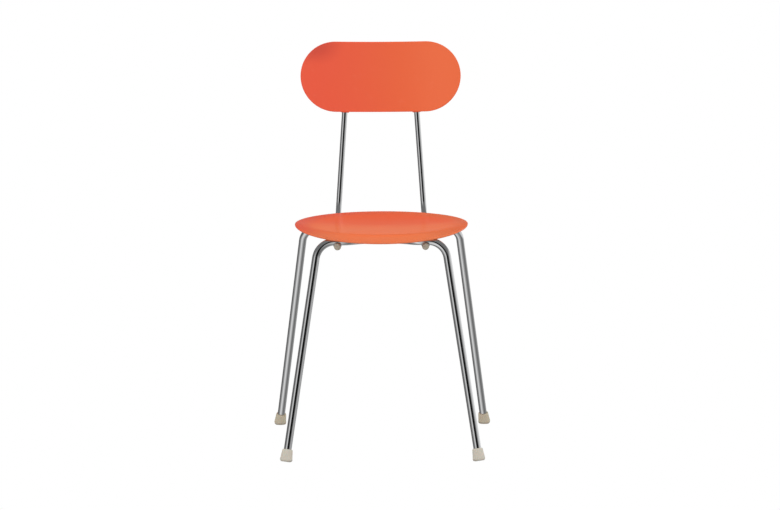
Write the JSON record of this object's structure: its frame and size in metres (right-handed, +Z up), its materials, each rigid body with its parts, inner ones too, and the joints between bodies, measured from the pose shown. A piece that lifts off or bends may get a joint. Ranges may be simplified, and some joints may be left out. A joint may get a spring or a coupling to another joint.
{
  "type": "stacking chair",
  "caption": "Stacking chair with a round dished seat and a curved stadium-shaped back on a chromed tube frame with plastic feet.",
  "frame": {"origin": "on the floor, under the middle of the chair's bounding box", "axes": "+Z up, -Y towards the front (the sitter faces -Y), +X to the right of someone who looks at the chair's front"},
  "size_m": [0.4696, 0.4968, 0.8317],
  "materials": {
    "chromed_tube": "bright chrome plating on steel tube",
    "orange_moulding": "orange polypropylene with a fine matt texture",
    "grey_moulding": "grey-beige polyethylene, satin",
    "zinc_steel": "zinc-plated steel"
  },
  "bodies": {
    "root": {"back_panel": "orange_moulding", "front_left_foot": "grey_moulding", "front_left_saddle_washer": "zinc_steel", "front_left_seat_screw": "zinc_steel", "front_left_weld": "chromed_tube", "front_leg_frame": "chromed_tube", "front_right_foot": "grey_moulding", "front_right_saddle_washer": "zinc_steel", "front_right_seat_screw": "zinc_steel", "front_right_weld": "chromed_tube", "left_back_screw": "zinc_steel", "left_post_plug": "grey_moulding", "left_rail_cap": "grey_moulding", "left_upright": "chromed_tube", "rear_left_foot": "grey_moulding", "rear_left_saddle_washer": "zinc_steel", "rear_left_seat_screw": "zinc_steel", "rear_left_weld": "chromed_tube", "rear_leg_frame": "chromed_tube", "rear_right_foot": "grey_moulding", "rear_right_saddle_washer": "zinc_steel", "rear_right_seat_screw": "zinc_steel", "rear_right_weld": "chromed_tube", "right_back_screw": "zinc_steel", "right_post_plug": "grey_moulding", "right_rail_cap": "grey_moulding", "right_upright": "chromed_tube", "seat_shell": "orange_moulding"}
  },
  "joints": []
}
